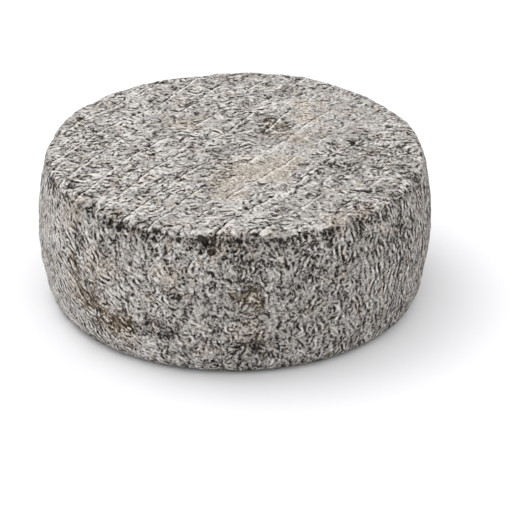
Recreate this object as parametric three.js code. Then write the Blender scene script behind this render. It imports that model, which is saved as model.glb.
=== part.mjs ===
// Tomme grise: a whole wheel of aged cow's milk cheese under its grey moulded rind.
// Millimetres, +Z up. The origin is the middle of the flat underside.
// A compass is an angle round the wheel, anticlockwise from +X as seen from above.
import * as THREE from "three";
import { ImprovedNoise } from "three/addons/math/ImprovedNoise.js";

const { degToRad, radToDeg, smoothstep } = THREE.MathUtils;

// The wheel
const WIDTH = 190; // across the belly of the wall
const HEIGHT = 74; // underside to upper face
const BELLY = 4.4; // how far the wall swells past its two rims
const TOP_RIM = 4; // radius that the upper rim is worn to
const FOOT_RIM = 7.5; // radius of the lower rim, pressed rounder by the shelf
const RIM_LEAN = degToRad(14); // slope of the wall where it leaves a rim

// The upper face settled out of level while the wheel ripened
const SLOPE = 0.6; // rise at the high side, and fall across from it
const HIGH_SIDE = degToRad(-20);

// On one side of a line across it, the upper face falls away towards the rim
const SLUMP = { compass: degToRad(65), aside: 42, reach: 48, fall: 2.8, fadeStart: 0, fadeEnd: 46 };

// Under part of the upper rim the skin is tucked into a shallow groove. start, end and fade are
// in degrees, and the groove wavers up and down by as much as waver.
const TUCK = { start: -146, end: -78, fade: 9, below: 3.6, width: 2.6, depth: 1.1, waver: 1.2 };

// Spacing of the rows of facets
const FACET = 4.5; // on all that shows
const RIM_FACET = 2.9; // round the two rims
const FOOT_FACET = 12; // across the flat underside
const CROWDING = 1.3; // above 1, the wall's rows crowd towards the upper rim
const SECTORS = 6; // every row's number of points is a multiple of this

// Rind: span is the width of one swell and the hollow beside it, depth is from its middle
const SWELLS = { span: 74, depth: 0.5, seed: 11 };
const LUMPS = { span: 23, depth: 0.4, seed: 37 };
const POCKS = { span: 10.5, depth: 0.36, seed: 71 };
const NOISE_GAIN = 1.6; // brings the noise's highest swells to about 1
const SHELF_REACH = 11; // height over which the relief dies out towards the shelf

// Folds of the press cloth printed across the upper face, all in one direction.
// aside is the distance from the middle, start and end lie along the fold, bow bends it.
const FOLD_COMPASS = degToRad(54);
const FOLDS = [
  { aside: -31, start: -52, end: 48, bow: 2, rise: 0.8, width: 4.5 },
  { aside: -15, start: -72, end: 6, bow: 0, rise: 0.7, width: 4 },
  { aside: 12, start: -60, end: 45, bow: 3, rise: 0.9, width: 5 },
  { aside: 33, start: -50, end: 30, bow: -3, rise: 0.7, width: 4 },
  { aside: 46, start: -62, end: 36, bow: 1, rise: 0.9, width: 5.5 },
];
const FOLD_FADE = 0.2; // share of a fold's length over which each end dies out
const GROOVE = 0.8; // depth of the groove beside a fold, as a share of its rise
const FOLD_WAVER = { reach: 2, along: 19, aside: 40 }; // folds stray by reach, once every along
const OVER_RIM = 3; // power of the slope by which the folds die out over the rim

// Dents knocked into the upper rim, with their drop below the face and their width
const DENTS = [
  { compass: -138, drop: 1, width: 5.7, depth: 1.0 },
  { compass: -129, drop: 2, width: 5.7, depth: 1.0 },
  { compass: -98, drop: 4.5, width: 5.7, depth: 2.2 },
  { compass: 101, drop: 1, width: 8.5, depth: 1.2 },
  { compass: -18, drop: 4, width: 8.5, depth: 1.2 },
  { compass: 38, drop: 2, width: 6.4, depth: 0.9 },
  { compass: 168, drop: 3, width: 7.8, depth: 1.1 },
];

const noise = new ImprovedNoise();
const POLE = 1e-6; // a row with a smaller radius is a single point on the axis
const RIM_RADIUS = WIDTH / 2 - BELLY;
const TOP_FLAT = RIM_RADIUS - TOP_RIM * Math.cos(RIM_LEAN);
const FOOT_FLAT = RIM_RADIUS - FOOT_RIM * Math.cos(RIM_LEAN);

// The five stretches of the section, from the middle of the upper face round to the underside
function section() {
  const quarter = Math.PI / 2;
  const face = new THREE.LineCurve(
    new THREE.Vector2(0, HEIGHT),
    new THREE.Vector2(TOP_FLAT, HEIGHT),
  );
  const topRim = new THREE.EllipseCurve(
    TOP_FLAT, HEIGHT - TOP_RIM, TOP_RIM, TOP_RIM, quarter, RIM_LEAN, true,
  );
  const footRim = new THREE.EllipseCurve(
    FOOT_FLAT, FOOT_RIM, FOOT_RIM, FOOT_RIM, -RIM_LEAN, -quarter, true,
  );
  const upper = topRim.getPoint(1);
  const lower = footRim.getPoint(0);
  const wall = new THREE.QuadraticBezierCurve(
    upper,
    new THREE.Vector2(WIDTH / 2 + BELLY, (upper.y + lower.y) / 2),
    lower,
  );
  const underside = new THREE.LineCurve(
    new THREE.Vector2(FOOT_FLAT, 0),
    new THREE.Vector2(0, 0),
  );
  return [
    { curve: face, facet: FACET, crowding: 1 },
    { curve: topRim, facet: RIM_FACET, crowding: 1 },
    { curve: wall, facet: FACET, crowding: CROWDING },
    { curve: footRim, facet: RIM_FACET, crowding: 1 },
    { curve: underside, facet: FOOT_FACET, crowding: 1 },
  ];
}

// Rings of the skin, top to bottom: radius, height, outward slope and number of points
function rings() {
  const out = [];
  for (const { curve, facet, crowding } of section()) {
    const steps = Math.round(curve.getLength() / facet);
    for (let k = out.length ? 1 : 0; k <= steps; k++) {
      const share = (k / steps) ** crowding;
      const at = curve.getPointAt(share);
      const along = curve.getTangentAt(share);
      const around = (2 * Math.PI * at.x) / Math.max(facet, FACET);
      const points = SECTORS * Math.round(around / SECTORS);
      out.push({
        radius: at.x,
        z: at.y,
        outward: new THREE.Vector2(-along.y, along.x),
        points: at.x < POLE ? 1 : Math.max(SECTORS, points),
      });
    }
  }
  return out;
}

// Soft hollows and swells between about -1 and 1, one of them every span
function swell(at, { span, seed }) {
  return NOISE_GAIN * noise.noise(at.x / span + seed, at.y / span - seed, at.z / span + 2 * seed);
}

// A soft hump: 1 in its middle and nearly nothing one width away
function hump(away, width) {
  return Math.exp(-2 * (away / width) ** 2);
}

// A point of the upper face measured along a line through the middle and aside from it
function fromLine(at, compass) {
  const c = Math.cos(compass);
  const s = Math.sin(compass);
  return { along: at.x * c + at.y * s, aside: at.x * s - at.y * c };
}

// Each fold is a rounded ridge with a groove beside it
function folds(at) {
  const { along, aside } = fromLine(at, FOLD_COMPASS);
  const waver = FOLD_WAVER.reach * noise.noise(along / FOLD_WAVER.along, aside / FOLD_WAVER.aside, 0.5);
  return FOLDS.reduce((sum, fold) => {
    const t = (along - fold.start) / (fold.end - fold.start);
    const off = aside - waver - fold.aside - fold.bow * (1 - (2 * t - 1) ** 2);
    const ends = smoothstep(t, 0, FOLD_FADE) * smoothstep(1 - t, 0, FOLD_FADE);
    const ridge = hump(off, fold.width);
    const groove = GROOVE * hump(off - fold.width, fold.width);
    return sum + fold.rise * ends * (ridge - groove);
  }, 0);
}

// How far the upper face has slumped towards the rim at a point
function slump(at) {
  const { along, aside } = fromLine(at, SLUMP.compass);
  const beyond = Math.max(0, aside - SLUMP.aside) / SLUMP.reach;
  return SLUMP.fall * beyond * (1 - smoothstep(along, SLUMP.fadeStart, SLUMP.fadeEnd));
}

// How deep the groove under the rim is at a point
function tuck(at) {
  const compass = radToDeg(Math.atan2(at.y, at.x));
  const started = smoothstep(compass, TUCK.start, TUCK.start + TUCK.fade);
  const ended = smoothstep(compass, TUCK.end - TUCK.fade, TUCK.end);
  const waver = TUCK.waver * noise.noise(compass / TUCK.fade, 0.5, 0.5);
  const onWall = smoothstep(Math.hypot(at.x, at.y), TOP_FLAT, RIM_RADIUS);
  const across = hump(HEIGHT - TUCK.below + waver - at.z, TUCK.width);
  return TUCK.depth * started * (1 - ended) * onWall * across;
}

// How deep the dents reach at a point near the upper rim
function dents(at) {
  return DENTS.reduce((sum, dent) => {
    const turn = degToRad(dent.compass);
    const middle = new THREE.Vector3(
      RIM_RADIUS * Math.cos(turn),
      RIM_RADIUS * Math.sin(turn),
      HEIGHT - dent.drop,
    );
    return sum + dent.depth * hump(at.distanceTo(middle), dent.width);
  }, 0);
}

// How far the rind stands off the smooth drum, fading to nothing at the shelf.
// level is 1 on the upper face and 0 on the wall.
function relief(at, level) {
  const settled = smoothstep(at.z, 0, SHELF_REACH);
  const rolling = SWELLS.depth * swell(at, SWELLS) + LUMPS.depth * swell(at, LUMPS);
  const pocked = POCKS.depth * swell(at, POCKS);
  return settled * (rolling + pocked + level * folds(at) - tuck(at) - dents(at));
}

// The skin of the whole wheel as one closed surface
function wheelGeometry() {
  const rows = rings();
  const positions = [];
  const faces = [];
  rows.forEach((row, k) => {
    row.first = positions.length / 3;
    row.stagger = k % 2 ? 0.5 : 0;
    for (let i = 0; i < row.points; i++) {
      const turn = (2 * Math.PI * (i + row.stagger)) / row.points;
      const out = new THREE.Vector3(Math.cos(turn), Math.sin(turn), 0);
      const at = out.clone().multiplyScalar(row.radius).setZ(row.z);
      const normal = out.multiplyScalar(row.outward.x).setZ(row.outward.y);
      const lift = (SLOPE * row.radius * Math.cos(turn - HIGH_SIDE)) / RIM_RADIUS - slump(at);
      at.addScaledVector(normal, relief(at, Math.max(0, row.outward.y) ** OVER_RIM));
      at.z += (lift * row.z) / HEIGHT;
      positions.push(at.x, at.y, at.z);
    }
  });
  for (let k = 1; k < rows.length; k++) {
    joinRings(rows[k - 1], rows[k], faces);
  }
  const geometry = new THREE.BufferGeometry();
  geometry.setAttribute("position", new THREE.Float32BufferAttribute(positions, 3));
  geometry.setIndex(faces);
  geometry.computeBoundingBox();
  const middle = geometry.boundingBox.getCenter(new THREE.Vector3());
  geometry.translate(-middle.x, -middle.y, 0);
  geometry.computeVertexNormals();
  return geometry;
}

// Triangles between two rings, each time stepping along the ring that lags behind
function joinRings(upper, lower, faces) {
  const pointOf = (ring, n) => ring.first + (n % ring.points);
  const reached = (ring, n) => (n + 0.5 + ring.stagger) / ring.points;
  const upperSteps = upper.points === 1 ? 0 : upper.points;
  const lowerSteps = lower.points === 1 ? 0 : lower.points;
  let i = 0;
  let j = 0;
  while (i < upperSteps || j < lowerSteps) {
    const lowerDone = j >= lowerSteps;
    const upperLags = i < upperSteps && reached(upper, i) < reached(lower, j);
    if (lowerDone || upperLags) {
      faces.push(pointOf(upper, i), pointOf(lower, j), pointOf(upper, i + 1));
      i++;
    } else {
      faces.push(pointOf(upper, i), pointOf(lower, j), pointOf(lower, j + 1));
      j++;
    }
  }
}

const rind = new THREE.MeshStandardMaterial({
  name: "grey_rind",
  color: 0xa8a29b,
  roughness: 0.95,
  metalness: 0,
});
const wheel = new THREE.Mesh(wheelGeometry(), rind);
wheel.name = "cheese_wheel";

const tomme = new THREE.Group();
tomme.name = "tomme_grise";
tomme.add(wheel);

export default tomme;
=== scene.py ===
# A whole wheel of tomme grise on a pale floor, seen as a shop shows it. Units are metres.
import bpy
import math
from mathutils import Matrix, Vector
from types import SimpleNamespace


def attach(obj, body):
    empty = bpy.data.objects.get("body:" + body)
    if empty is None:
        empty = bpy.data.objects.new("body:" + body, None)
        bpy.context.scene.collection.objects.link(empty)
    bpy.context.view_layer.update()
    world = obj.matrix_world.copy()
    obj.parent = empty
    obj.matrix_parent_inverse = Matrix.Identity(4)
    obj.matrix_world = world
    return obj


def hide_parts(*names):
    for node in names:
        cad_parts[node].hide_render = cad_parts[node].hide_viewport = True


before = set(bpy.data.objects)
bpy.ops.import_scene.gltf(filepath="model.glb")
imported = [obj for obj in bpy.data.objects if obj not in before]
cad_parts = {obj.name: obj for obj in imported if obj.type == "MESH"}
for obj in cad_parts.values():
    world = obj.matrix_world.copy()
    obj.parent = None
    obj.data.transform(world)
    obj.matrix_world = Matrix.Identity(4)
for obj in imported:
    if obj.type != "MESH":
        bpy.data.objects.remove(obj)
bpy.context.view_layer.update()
mm = 0.001

# The camera
# A long lens looks down on the upper face and the wall, as a shop's catalogue does.
# The wheel stands a little left of and above the middle of the picture.
LENS = 204.5
CAMERA_AT = (0.0, -1.2922, 0.7008)
AIM_AT = (0.0139, -0.0091, 0.0157)
bpy.ops.object.camera_add(location=CAMERA_AT)
camera = bpy.context.active_object
camera.name = "camera"
camera.data.lens = LENS
camera.rotation_euler = (Vector(AIM_AT) - Vector(CAMERA_AT)).to_track_quat("-Z", "Y").to_euler()
bpy.context.scene.camera = camera

# The wheel's body
# Pressed and aged curd, about two kilograms of it, that settled under its own weight while it
# ripened. Its wall bulges, its rims are worn, and the shelf keeps its underside flat.
CORNERS_MET_WITHIN = 0.01 * mm
ROUNDING_LEVELS = 2

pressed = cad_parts["cheese_wheel"]
wheel = bpy.data.objects.new("tomme_wheel", pressed.data.copy())
bpy.context.collection.objects.link(wheel)
bpy.ops.object.select_all(action="DESELECT")
wheel.select_set(True)
bpy.context.view_layer.objects.active = wheel
bpy.ops.object.mode_set(mode="EDIT")
bpy.ops.mesh.select_all(action="SELECT")
bpy.ops.mesh.remove_doubles(threshold=CORNERS_MET_WITHIN)
bpy.ops.object.mode_set(mode="OBJECT")
rounding = wheel.modifiers.new("rounding", "SUBSURF")
rounding.levels = rounding.render_levels = ROUNDING_LEVELS
bpy.ops.object.modifier_apply(modifier=rounding.name)
bpy.ops.object.shade_smooth()


# The rind
# Grey mould, patted flat by hand again and again, felted into a pale skin over the dry brown
# crust. The skin wrinkles and cracks as it dries, and the crust shows dark in every crack.
class Field:
    """A value that changes over the rind. Arithmetic on it adds Math nodes to its tree."""

    def __init__(self, tree, socket):
        self.tree = tree
        self.socket = socket

    def node(self, kind, settings, inputs, output=0):
        """Adds one node with these settings and sockets, and gives what it puts out."""
        made = self.tree.nodes.new(kind)
        for name, value in settings.items():
            setattr(made, name, value)
        for name, value in inputs.items():
            if isinstance(value, Field):
                self.tree.links.new(value.socket, made.inputs[name])
            else:
                made.inputs[name].default_value = value
        return Field(self.tree, made.outputs[output])

    def twin(self, output):
        """Another output of the node that this value comes from."""
        return Field(self.tree, self.socket.node.outputs[output])

    def math(self, operation, first, second):
        return self.node("ShaderNodeMath", {"operation": operation}, {0: first, 1: second})

    def __add__(self, other):
        return self.math("ADD", self, other)

    def __radd__(self, other):
        return self.math("ADD", other, self)

    def __sub__(self, other):
        return self.math("SUBTRACT", self, other)

    def __rsub__(self, other):
        return self.math("SUBTRACT", other, self)

    def __mul__(self, other):
        return self.math("MULTIPLY", self, other)

    def __rmul__(self, other):
        return self.math("MULTIPLY", other, self)

    def __truediv__(self, other):
        return self.math("DIVIDE", self, other)

    def __abs__(self):
        return self.math("ABSOLUTE", self, 0.0)

    def __or__(self, other):
        return self.math("MAXIMUM", self, other)

    def fraction(self):
        return self.math("FRACT", self, 0.0)

    def rising(self, low, high):
        """0 below low, 1 above high, and an even curve between."""
        return self.node(
            "ShaderNodeMapRange",
            {"interpolation_type": "SMOOTHSTEP"},
            {"Value": self, "From Min": low, "From Max": high},
        )

    def vector_math(self, operation, inputs, output="Vector"):
        return self.node("ShaderNodeVectorMath", {"operation": operation}, inputs, output)

    def plus(self, step):
        """This place or way, with a step added to it."""
        return self.vector_math("ADD", {0: self, 1: step})

    def times(self, length):
        """This way, made longer or shorter."""
        return self.vector_math("SCALE", {0: self, "Scale": length})

    def along(self, direction):
        """How far this place lies along a direction."""
        return self.vector_math("DOT_PRODUCT", {0: self, 1: direction}, "Value")

    def away_from(self, spot):
        """How far this place lies from a spot."""
        return self.vector_math("DISTANCE", {0: self, 1: spot}, "Value")

    def moved(self, seed):
        """This place, shifted so that a pattern there comes out differently."""
        return self.plus([seed * step for step in SEED_STEP])


# How far apart the patterns of two seeds that follow each other lie, in metres
SEED_STEP = (0.37, 0.11, -0.23)
# What a texture node puts out keeps near its middle, and the gains spread it from about -1 to 1
MIDDLE = 0.5
NOISE_GAIN = 4
RIPPLE_GAIN = 3


def swells(place, size, seed, detail=0.0, twist=0.0):
    """Random swells and hollows about as wide as size, from about -1 to 1."""
    inputs = {"Vector": place.moved(seed), "Scale": 1 / size, "Detail": detail, "Distortion": twist}
    return (place.node("ShaderNodeTexNoise", {}, inputs) - MIDDLE) * NOISE_GAIN


def stray(place, size, reach, seed):
    """A push one way or another, up to about reach, that changes over about size."""
    inputs = {"Vector": place.moved(seed), "Scale": 1 / size, "Detail": 0.0}
    push = place.node("ShaderNodeTexNoise", {}, inputs, "Color")
    return push.plus((-MIDDLE, -MIDDLE, -MIDDLE)).times(NOISE_GAIN * reach)


# How alike the strokes of a patch lie, from 0 for any way to 1 for all one way
STROKES_ALIKE = 0.8
# The ripples' node has one socket for the way across a flat pattern and one for a solid pattern,
# with the same name, so the second goes by its number
SOLID_WAY = 5


def ripples(place, size, cycles, way, seed):
    """Patches of short parallel strokes, each patch about as wide as size, cycles strokes to it."""
    inputs = {"Vector": place.moved(seed), "Scale": 1 / size, "Frequency": cycles}
    inputs = {**inputs, "Anisotropy": STROKES_ALIKE, SOLID_WAY: way}
    return (place.node("ShaderNodeTexGabor", {"gabor_type": "3D"}, inputs) - MIDDLE) * RIPPLE_GAIN


def across(compass, tilt):
    """The way from one stroke to the next, for ripples. The node turns each patch by a random
    angle, always the same way round, so this is set back by half of the most it turns."""
    back = 90 * (1 - STROKES_ALIKE)
    turn, fall = math.radians(compass - back), math.radians(tilt - back)
    return (math.sin(fall) * math.cos(turn), math.sin(fall) * math.sin(turn), math.cos(fall))


def line(value, width):
    """1 where a value is 0, fading to 0 where it has grown to width."""
    return 1 - abs(value).rising(0.0, width)


def mixed(first, second, share):
    """The first value where share is 0 and the second where it is 1."""
    return share * (second - first) + first


# A Mix node has two inputs and an output for each kind of value, all with the same names, so they
# go by their numbers
MIX_SOCKETS = {"VECTOR": (4, 5, 1), "RGBA": (6, 7, 2)}


def blended(kind, under, over, share, blend="MIX"):
    """One way or colour laid over another, by a share from 0 to 1."""
    first, second, output = MIX_SOCKETS[kind]
    settings = {"data_type": kind, "blend_type": blend}
    return share.node("ShaderNodeMix", settings, {0: share, first: under, second: over}, output)


# The share of a spot's reach that is all spot, before it begins to fade
SPOT_HEART = 0.35


def near(place, at, reach, ragged):
    """1 near a spot of the rind, fading to 0 at its reach, with a ragged edge."""
    return 1 - (place.away_from(at) + ragged).rising(SPOT_HEART * reach, reach)


def spotted(place, spots, ragged):
    """All the spots of one kind, as a share from 0 to 1. Each spot in a list is given in
    millimetres: how far it lies to the east, to the north and up, and its reach."""
    share = None
    for *at, reach in spots:
        spot = near(place, [mm * v for v in at], mm * reach, ragged)
        share = spot if share is None else share | spot
    return share


# The heights between which the wall turns into the upper face
RIM_FROM, RIM_TO = 69 * mm, 72.5 * mm
# Where the felt was patted flattest
FLAT_SPOTS = [
    (-5, -54, 74, 10), (1, -42, 74, 13), (12, -26, 74, 15), (22, -11, 74, 15), (31, 3, 74, 16),
    (41, 20, 74, 20), (56, 32, 74, 20), (36, 42, 74, 19), (48, 54, 74, 16),
]
# How flat it was patted there, in front and at the back
PATTED_FLAT = (0.85, 0.62)
# How much of the cloth's print has faded in the east, and how ragged the edges of spots are
PRINT_FADED = 0.55
RAGGED_BY = 3.0 * mm


def surveyed(place):
    """What the patterns go by at a place: how far it lies to the east, to the north and up, on the
    upper face or on the wall behind, and how ragged, patchy, printed and flat the felt is there."""
    east = place.node("ShaderNodeSeparateXYZ", {}, {"Vector": place}, "X")
    north, height = east.twin("Y"), east.twin("Z")
    on_top = height.rising(RIM_FROM, RIM_TO)
    behind = (1 - on_top) * north.rising(-30 * mm, 20 * mm)
    ragged = RAGGED_BY * swells(place, 6 * mm, seed=9)
    patches = swells(place, 18 * mm, seed=8, detail=1.0)
    printed = on_top * (1 - PRINT_FADED * east.rising(15 * mm, 65 * mm))
    patted = spotted(place, FLAT_SPOTS, ragged).rising(0.1, 0.45) * on_top
    calm = patted * mixed(*PATTED_FLAT, north.rising(-15 * mm, 20 * mm))
    return SimpleNamespace(
        place=place, east=east, north=north, height=height, on_top=on_top, behind=behind,
        ragged=ragged, patches=patches, printed=printed, calm=calm,
    )


# How wide the patches of strokes are, and over what distance their way strays
STROKE_PATCH = 5.7 * mm
STRAY_SIZE = 5.5 * mm
# How the strokes follow each other on the upper face: compass and tilt in degrees
FACE_WAY = (100, 90)
# How they follow each other round the wall, from west to east: where each way starts and where it
# has taken over, in millimetres east, then its compass and tilt
WALL_WAYS = [
    (-95, -95, 95, 100), (-93, -80, 132, 140), (-70, -30, 150, 120),
    (-20, 15, 180, 85), (20, 60, 233, 90),
]
# How far they stray from their way: in the middle of the wall and at its sides, and on the face
WALL_STRAY = (1.5, 0.5)
FACE_STRAY = 1.25


def wall_way(east, turned):
    """How the strokes follow each other along one half of the wall, from west to east."""
    ways = [across(*turned(compass, tilt)) for _, _, compass, tilt in WALL_WAYS]
    way = ways[0]
    for (start, end, *_), following in zip(WALL_WAYS[1:], ways[1:]):
        way = blended("VECTOR", way, following, east.rising(start * mm, end * mm))
    return way


def stroke_way(here):
    """How the strokes follow each other: round the wall, where they stray most in the middle of
    the front and back, and over the upper face."""
    front = wall_way(here.east, lambda compass, tilt: (compass, tilt))
    back = wall_way(here.east, lambda compass, tilt: (180 - compass, 180 - tilt))
    on_wall = blended("VECTOR", front, back, here.north.rising(0.0, 35 * mm))
    aside = abs(here.east + 10 * mm).rising(20 * mm, 70 * mm)
    on_wall = on_wall.plus(stray(here.place, STRAY_SIZE, mixed(*WALL_STRAY, aside), seed=12))
    on_face = stray(here.place, STRAY_SIZE, FACE_STRAY, seed=21).plus(across(*FACE_WAY))
    return blended("VECTOR", on_wall, on_face, here.on_top)


# On the wall and on the upper face: how many strokes there are to a patch, how strong they are,
# and how much the patches vary their boldness
STROKES_TO_PATCH = (2.15, 1.75)
STROKE_STRENGTH = (1.02, 1.15)
BOLDNESS_VARIED = (0.15, 0.25)
# How much bolder the wrinkles are in the west than in the east
WEST_AND_EAST = (1.15, 1.0)
# How strongly curls cut the strokes of the upper face, and small nicks those all over
CURLED_BY = 0.8
NICKED_BY = 0.47
# How much of the strokes is patted away where the felt is flattest
STROKES_PATTED = 0.65


def strands(here):
    """The fine wrinkles of the felt: from about -1 in the cracks to 1 on the ridges. They are
    bolder to the west, cut by curls on the upper face, and low where it was patted flat."""
    cycles = mixed(*STROKES_TO_PATCH, here.on_top) + 0.4 * here.patches
    strokes = ripples(here.place, STROKE_PATCH, cycles, stroke_way(here), seed=3)
    strokes = strokes * (0.8 + 0.35 * abs(strokes))
    curls = line(swells(here.place, 3.4 * mm, seed=23, detail=1.0), 0.26)
    curls = curls * swells(here.place, 7 * mm, seed=24).rising(-0.6, 0.4)
    strokes = mixed(*STROKE_STRENGTH, here.on_top) * strokes
    strokes = strokes - CURLED_BY * here.on_top * (curls - 0.2)
    nicks = swells(here.place, 1.1 * mm, seed=5, twist=0.6)
    nicks = (NICKED_BY - 0.06 * here.on_top + 0.1 * here.calm) * nicks
    bold = 1 + mixed(*BOLDNESS_VARIED, here.on_top) * here.patches
    bold = bold * mixed(*WEST_AND_EAST, here.east.rising(-60 * mm, -10 * mm))
    return bold * ((1 - STROKES_PATTED * here.calm) * strokes + nicks)


# How the press cloth lay on the upper face: across and along its folds, and from fold to fold
ACROSS_CLOTH = (0.809, -0.588, 0.0)
ALONG_CLOTH = (0.588, 0.809, 0.0)
FOLD_SPACING = 15.5 * mm
# Beside each fold, as shares of that spacing: how wide its ridge is, how far off its groove lies,
# and how wide that is
RIDGE_WIDTH = 0.085
GROOVE_ASIDE = 0.075
GROOVE_WIDTH = 0.05
# How high the ridge stands and how deep the groove goes
RIDGE_HIGH = 0.85
GROOVE_DEEP = 1.15
# How far the folds stray from straight, over long ways and short ones
STRAYED_LONG = 0.17
STRAYED_SHORT = 0.03
# A pattern is drawn out along the cloth when this share of the way along it is taken back
DRAWN_OUT = 0.85


def creases(here):
    """The print of the cloth's folds: soft ridges, each with a broken groove beside it, that
    stray, come and go along the fold, and fade to the east."""
    bent = STRAYED_LONG * swells(here.place, 50 * mm, seed=10)
    bent = bent + STRAYED_SHORT * swells(here.place, 6 * mm, seed=26)
    fold = (here.place.along(ACROSS_CLOTH) / FOLD_SPACING + 0.5 + bent).fraction() - 0.5
    ridge = line(fold, RIDGE_WIDTH)
    broken = 1 + 0.35 * swells(here.place, 2.2 * mm, seed=29)
    groove = broken * line(fold + GROOVE_ASIDE, GROOVE_WIDTH)
    deep = swells(here.place, 17 * mm, seed=14).rising(-0.7, 0.2)
    return (RIDGE_HIGH * ridge - GROOVE_DEEP * groove) * here.printed * deep


def streaks(here):
    """Faint streaks along the cloth, weaker where the felt was patted flat."""
    back = here.place.along(ALONG_CLOTH) * -DRAWN_OUT
    drawn = back.vector_math("SCALE", {0: ALONG_CLOTH, "Scale": back}).plus(here.place)
    return swells(drawn, 5.5 * mm, seed=30) * here.printed * (1 - 0.5 * here.calm)


# The groove under the upper rim, where wear and painted shade darken the felt, and how far up and
# down it reaches
GROOVE_HEIGHT, GROOVE_REACH = 70.2 * mm, 2.5 * mm


def groove_wear_and_shade(here):
    """The groove under the rim: worn felt and painted shade, more so in front and to the west."""
    front = 1 - here.north.rising(-60 * mm, 30 * mm)
    groove = line(here.height - GROOVE_HEIGHT, GROOVE_REACH) * (0.5 + 0.5 * front)
    return groove * (1 - 0.65 * here.east.rising(5 * mm, 55 * mm))


# Painted shade: the felt is thinned dark at the foot, less and less up to here
FOOT_FROM, FOOT_TO = 1 * mm, 7 * mm
# Where the felt is worn or wet through
DARK_SPOTS = [
    (-57, -69, 71, 9), (-13, -89, 69, 7), (-66, -61, 71, 8), (3, -90, 70, 7), (-37, -81, 71, 8),
    (30, -85, 69, 7), (44, -80, 67, 7), (57, -70, 70, 8), (76, -46, 71, 8), (-84, -27, 71, 8),
    (-72, -59, 57, 8), (-60, -71, 57, 9), (-63, -67, 15, 9), (-68, -65, 27, 8), (-45, -82, 21, 9),
    (-32, -89, 24, 9), (-31, -90, 43, 6), (6, -93, 57, 10), (6, -92, 16, 10), (77, -53, 56, 8),
    (-11, -44, 74, 7), (-21, 14, 74, 8), (-11, 51, 74, 6), (3, 39, 74, 4), (73, -4, 74, 12),
    (77, -16, 74, 11), (80, -26, 73, 10), (54, -29, 74, 9), (-4, -3, 74, 10), (20, 25, 74, 9),
]
# Where it is torn open
HOLES = [(-14, -89, 70, 3.6), (-11, -91, 65.5, 2.4), (-57, -69, 70.5, 2.6), (-53, -73, 69, 1.8)]
# Where it lies thick and pale
PALE_SPOTS = [
    (-57, -56, 74, 9), (-71, -41, 74, 6), (-79, -8, 74, 10), (7, -84, 74, 8), (-32, -77, 74, 8),
    (-14, -82, 74, 8), (-43, -73, 74, 8), (-65, 55, 74, 10), (74, 20, 74, 12), (-16, -91, 60, 9),
    (-56, -77, 33, 9), (-69, -60, 63, 8), (-31, -89, 52, 8), (-39, -83, 12, 8), (52, -70, 73, 8),
    (3, -64, 74, 15), (24, -56, 74, 14), (43, -52, 74, 10),
]
# How much each pattern adds to the felt or takes from it, on the wall and on the upper face
CLUMPED = (0.32, 0.31)
PATCHED = (0.1, 0.12)
WORN = (0.35, 0.22)
# And wherever it is found
PITTED = 0.5
CREASED = 0.9
STREAKED = 0.16
THICKENED = 0.12
PATTED_DOWN = 0.6
PATTED_FULL = 0.22
# Painted shade with wear in the groove under the rim, and painted shade at the foot
GROOVE_WORN_AND_SHADED = 0.6
FOOT_SHADED = 0.35
TORN = 1.3


def thickness(here):
    """How thick the felt lies: in clumps, thick along the creases and in the pale spots, evenly
    where it was patted flat, and thin where it is worn, pitted or torn. It is thinned as painted
    shade too, in the groove under the rim, at the foot and towards the east of the wall."""
    clumps = swells(here.place, 5.0 * mm, seed=7, detail=1.0)
    pits = 1 - swells(here.place, 2.6 * mm, seed=18, twist=0.5).rising(-0.75, -0.4)
    torn = spotted(here.place, HOLES, 0.4 * here.ragged).rising(0.15, 0.45)
    worn_behind = here.behind * swells(here.place, 13 * mm, seed=27).rising(0.2, 0.8)
    worn = spotted(here.place, DARK_SPOTS, here.ragged) | worn_behind
    full = spotted(here.place, PALE_SPOTS, here.ragged)
    # Painted shade and wear: the felt thins to dark crust in the recess under the rim
    rim_wear_and_shade = groove_wear_and_shade(here) * (0.7 + 1.1 * clumps)
    # Painted shade along the foot, where the wheel meets the floor
    shaded_foot = 1 - here.height.rising(FOOT_FROM, FOOT_TO)
    # The wall's felt thins towards the east: partly its own wear, partly painted shade on that side
    wall_worn_and_shaded = 0.05 + 0.28 * here.east.rising(-75 * mm, 20 * mm)
    face_scoured = 0.11 + 0.08 * here.east.rising(20 * mm, 65 * mm)
    worn_and_shaded = mixed(wall_worn_and_shaded, face_scoured, here.on_top)

    thick = mixed(*CLUMPED, here.on_top) * clumps
    thick = thick + mixed(*PATCHED, here.on_top) * here.patches - PITTED * pits
    thick = thick * (1 - PATTED_DOWN * here.calm) + PATTED_FULL * here.calm
    thick = thick + CREASED * creases(here) * (1 - 0.3 * here.calm) + STREAKED * streaks(here)
    thick = thick - mixed(*WORN, here.on_top) * worn + THICKENED * full
    return thick - GROOVE_WORN_AND_SHADED * rim_wear_and_shade - FOOT_SHADED * shaded_foot - TORN * torn - worn_and_shaded


# How high the rind stands: its swells, the felt on them, and small knobs
SWELL_RISE = 0.3 * mm
FELT_RISE = 0.45 * mm
KNOB_RISE = 0.12 * mm
# It grows from nothing between these heights, so that the underside stays flat
GROWS_FROM, GROWS_TO = 0.5 * mm, 6 * mm


def rind_rise(here):
    """How far the rind stands off the smooth wheel, in metres."""
    rise = SWELL_RISE * swells(here.place, 11 * mm, seed=15, detail=1.0)
    rise = rise + FELT_RISE * thickness(here)
    rise = rise + KNOB_RISE * swells(here.place, 3.2 * mm, seed=17)
    return rise * here.height.rising(GROWS_FROM, GROWS_TO)


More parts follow.
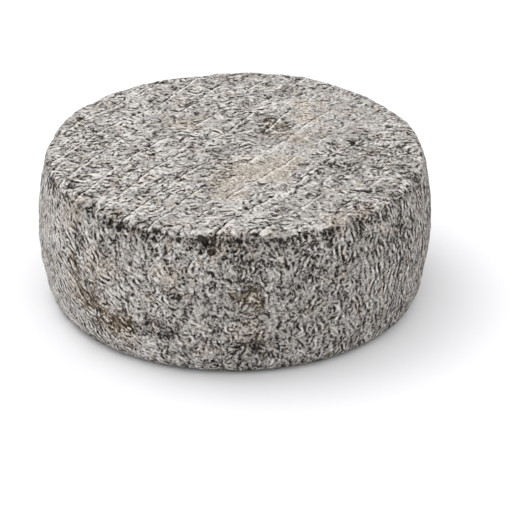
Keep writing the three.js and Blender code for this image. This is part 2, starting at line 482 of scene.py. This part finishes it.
# The relief, which also marks on the mesh where each point lay before it rose
MARK = "pressed_at"
relief = bpy.data.node_groups.new("rind_relief", "GeometryNodeTree")
relief.interface.new_socket("Geometry", in_out="INPUT", socket_type="NodeSocketGeometry")
relief.interface.new_socket("Geometry", in_out="OUTPUT", socket_type="NodeSocketGeometry")
skin = Field(relief, relief.nodes.new("NodeGroupInput").outputs[0])
place = Field(relief, relief.nodes.new("GeometryNodeInputPosition").outputs[0])
normal = Field(relief, relief.nodes.new("GeometryNodeInputNormal").outputs[0])
marked = skin.node(
    "GeometryNodeStoreNamedAttribute",
    {"data_type": "FLOAT_VECTOR", "domain": "POINT"},
    {"Geometry": skin, "Name": MARK, "Value": place},
)
offset = normal.times(rind_rise(surveyed(place)))
raised = marked.node("GeometryNodeSetPosition", {}, {"Geometry": marked, "Offset": offset})
relief.links.new(raised.socket, relief.nodes.new("NodeGroupOutput").inputs[0])
growth = wheel.modifiers.new("rind", "NODES")
growth.node_group = relief
bpy.ops.object.modifier_apply(modifier=growth.name)

# The colours of the felt in its hollows and on its ridges, of the crust in the cracks where it is
# fresh, dry and damp, and of the tan and brown stains
FELT = (0.375, 0.354, 0.334, 1)
FELT_TOP = (0.66, 0.637, 0.612, 1)
CRUST = (0.008, 0.007, 0.006, 1)
DRY_CRUST = (0.050, 0.042, 0.035, 1)
WET_CRUST = (0.024, 0.018, 0.011, 1)
BUFF = (1.0, 0.92, 0.81, 1)
UMBER = (0.150, 0.115, 0.078, 1)
# Where the rind is damp and stained brown
UMBER_SPOTS = [
    (-53, -77, 20, 12), (-69, -65, 27, 11), (-61, -70, 23, 11), (18, 30, 74, 6), (24, 27, 74, 6),
    (19, 21, 74, 8), (7, -95, 42, 9), (-76, -58, 43, 8),
]
# Where it is stained tan
BUFF_SPOTS = [
    (-3, -36, 74, 16), (6, -24, 74, 16), (16, -29, 74, 14), (22, -18, 74, 14), (31, 13, 74, 11),
    (33, 50, 74, 8), (37, 32, 74, 9), (-24, 26, 74, 10), (-3, -49, 74, 12), (-7, -89, 71, 9),
    (48, -76, 72, 10), (60, -65, 73, 10), (7, -94, 25, 14), (-32, -89, 52, 9), (-75, -51, 66, 12),
    (-62, -71, 47, 13), (-74, -60, 30, 12), (-55, -76, 20, 14),
]
# How strong the brown stain is, the tan one on the wall and on the upper face, and tan flecks
BROWNED = 0.9
TANNED = (0.6, 0.7)
FLECKED = 0.6
# How far the faint edge of a tan stain wanders
FAINT_BY = 5 * mm
RIND_ROUGHNESS = 0.92
RIND_SPECULAR = 0.15
# How high the grain stands that is too fine for the mesh, and how much of it is patted away
FINE_GRAIN = 0.14 * mm
COARSE_GRAIN = 0.12 * mm
GRAIN_PATTED = 0.35

rind = bpy.data.materials.new("grey_rind")
rind.use_nodes = True
shader = rind.node_tree.nodes["Principled BSDF"]
place = Field(rind.node_tree, rind.node_tree.nodes.new("ShaderNodeAttribute").outputs["Vector"])
place.socket.node.attribute_name = MARK

here = surveyed(place)
felt = thickness(here) + strands(here)
damp_behind = here.behind * swells(place, 15 * mm, seed=28, detail=1.0).rising(0.35, 0.8)
damp = spotted(place, UMBER_SPOTS, here.ragged) | damp_behind
dried = swells(place, 1.6 * mm, seed=19).rising(-0.5, 0.6)
crust = blended("RGBA", blended("RGBA", CRUST, DRY_CRUST, dried), WET_CRUST, damp)
stained = BROWNED * damp * (1 - felt.rising(-0.5, 0.7))
bare = 1 - felt.rising(-1.1, 0.15)
colour = blended("RGBA", FELT, FELT_TOP, felt.rising(-0.1, 0.95))
colour = blended("RGBA", colour, UMBER, stained)
colour = blended("RGBA", colour, crust, bare)

faint = FAINT_BY * swells(place, 9 * mm, seed=16, detail=2.0)
tanned = mixed(*TANNED, here.on_top) * spotted(place, BUFF_SPOTS, faint)
flecked = FLECKED * swells(place, 7 * mm, seed=25, detail=1.0).rising(0.1, 1.0)
warm = (tanned | flecked) * (1 - 0.5 * felt.rising(0.1, 0.9))
colour = blended("RGBA", colour, BUFF, warm, "MULTIPLY")
rind.node_tree.links.new(colour.socket, shader.inputs["Base Color"])

grain = FINE_GRAIN * swells(place, 1.3 * mm, seed=5, twist=0.6)
grain = grain + COARSE_GRAIN * swells(place, 3.0 * mm, seed=6)
grain = grain * (1 - GRAIN_PATTED * here.calm)
bump = felt.node("ShaderNodeBump", {}, {"Height": grain, "Strength": 1.0, "Distance": 1.0})
rind.node_tree.links.new(bump.socket, shader.inputs["Normal"])
shader.inputs["Roughness"].default_value = RIND_ROUGHNESS
shader.inputs["Specular IOR Level"].default_value = RIND_SPECULAR
wheel.data.materials.clear()
wheel.data.materials.append(rind)
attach(wheel, "root")
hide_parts("cheese_wheel")

# The floor and the light
# A white sweep that runs out of the picture, under a broad lamp high on the left and behind,
# with a white room all round that fills the shadows.
FLOOR_SIZE = 6.0
FLOOR_BELOW = 0.05 * mm
PAPER = (0.895, 0.895, 0.915, 1)
PAPER_ROUGHNESS = 0.9
PAPER_SPECULAR = 0.1
bpy.ops.mesh.primitive_plane_add(size=FLOOR_SIZE, location=(0, 0, -FLOOR_BELOW))
floor = bpy.context.active_object
floor.name = "floor"
paper = bpy.data.materials.new("white_paper")
paper.use_nodes = True
paper_shader = paper.node_tree.nodes["Principled BSDF"]
paper_shader.inputs["Base Color"].default_value = PAPER
paper_shader.inputs["Roughness"].default_value = PAPER_ROUGHNESS
paper_shader.inputs["Specular IOR Level"].default_value = PAPER_SPECULAR
floor.data.materials.append(paper)

LAMP_AT = (-0.7, 0.35, 1.5)
LAMP_WIDTH = 1.1
LAMP_WATTS = 8
bpy.ops.object.light_add(type="AREA", location=LAMP_AT)
lamp = bpy.context.active_object
lamp.name = "broad_lamp"
lamp.data.shape = "DISK"
lamp.data.size = LAMP_WIDTH
lamp.data.energy = LAMP_WATTS
lamp.rotation_euler = (-Vector(LAMP_AT)).to_track_quat("-Z", "Y").to_euler()

ROOM_WHITE = (1, 1, 1, 1)
ROOM_STRENGTH = 1.12
room = bpy.data.worlds.new("white_room")
room.use_nodes = True
room.node_tree.nodes["Background"].inputs["Color"].default_value = ROOM_WHITE
room.node_tree.nodes["Background"].inputs["Strength"].default_value = ROOM_STRENGTH
bpy.context.scene.world = room
bpy.context.scene.view_settings.view_transform = "Standard"
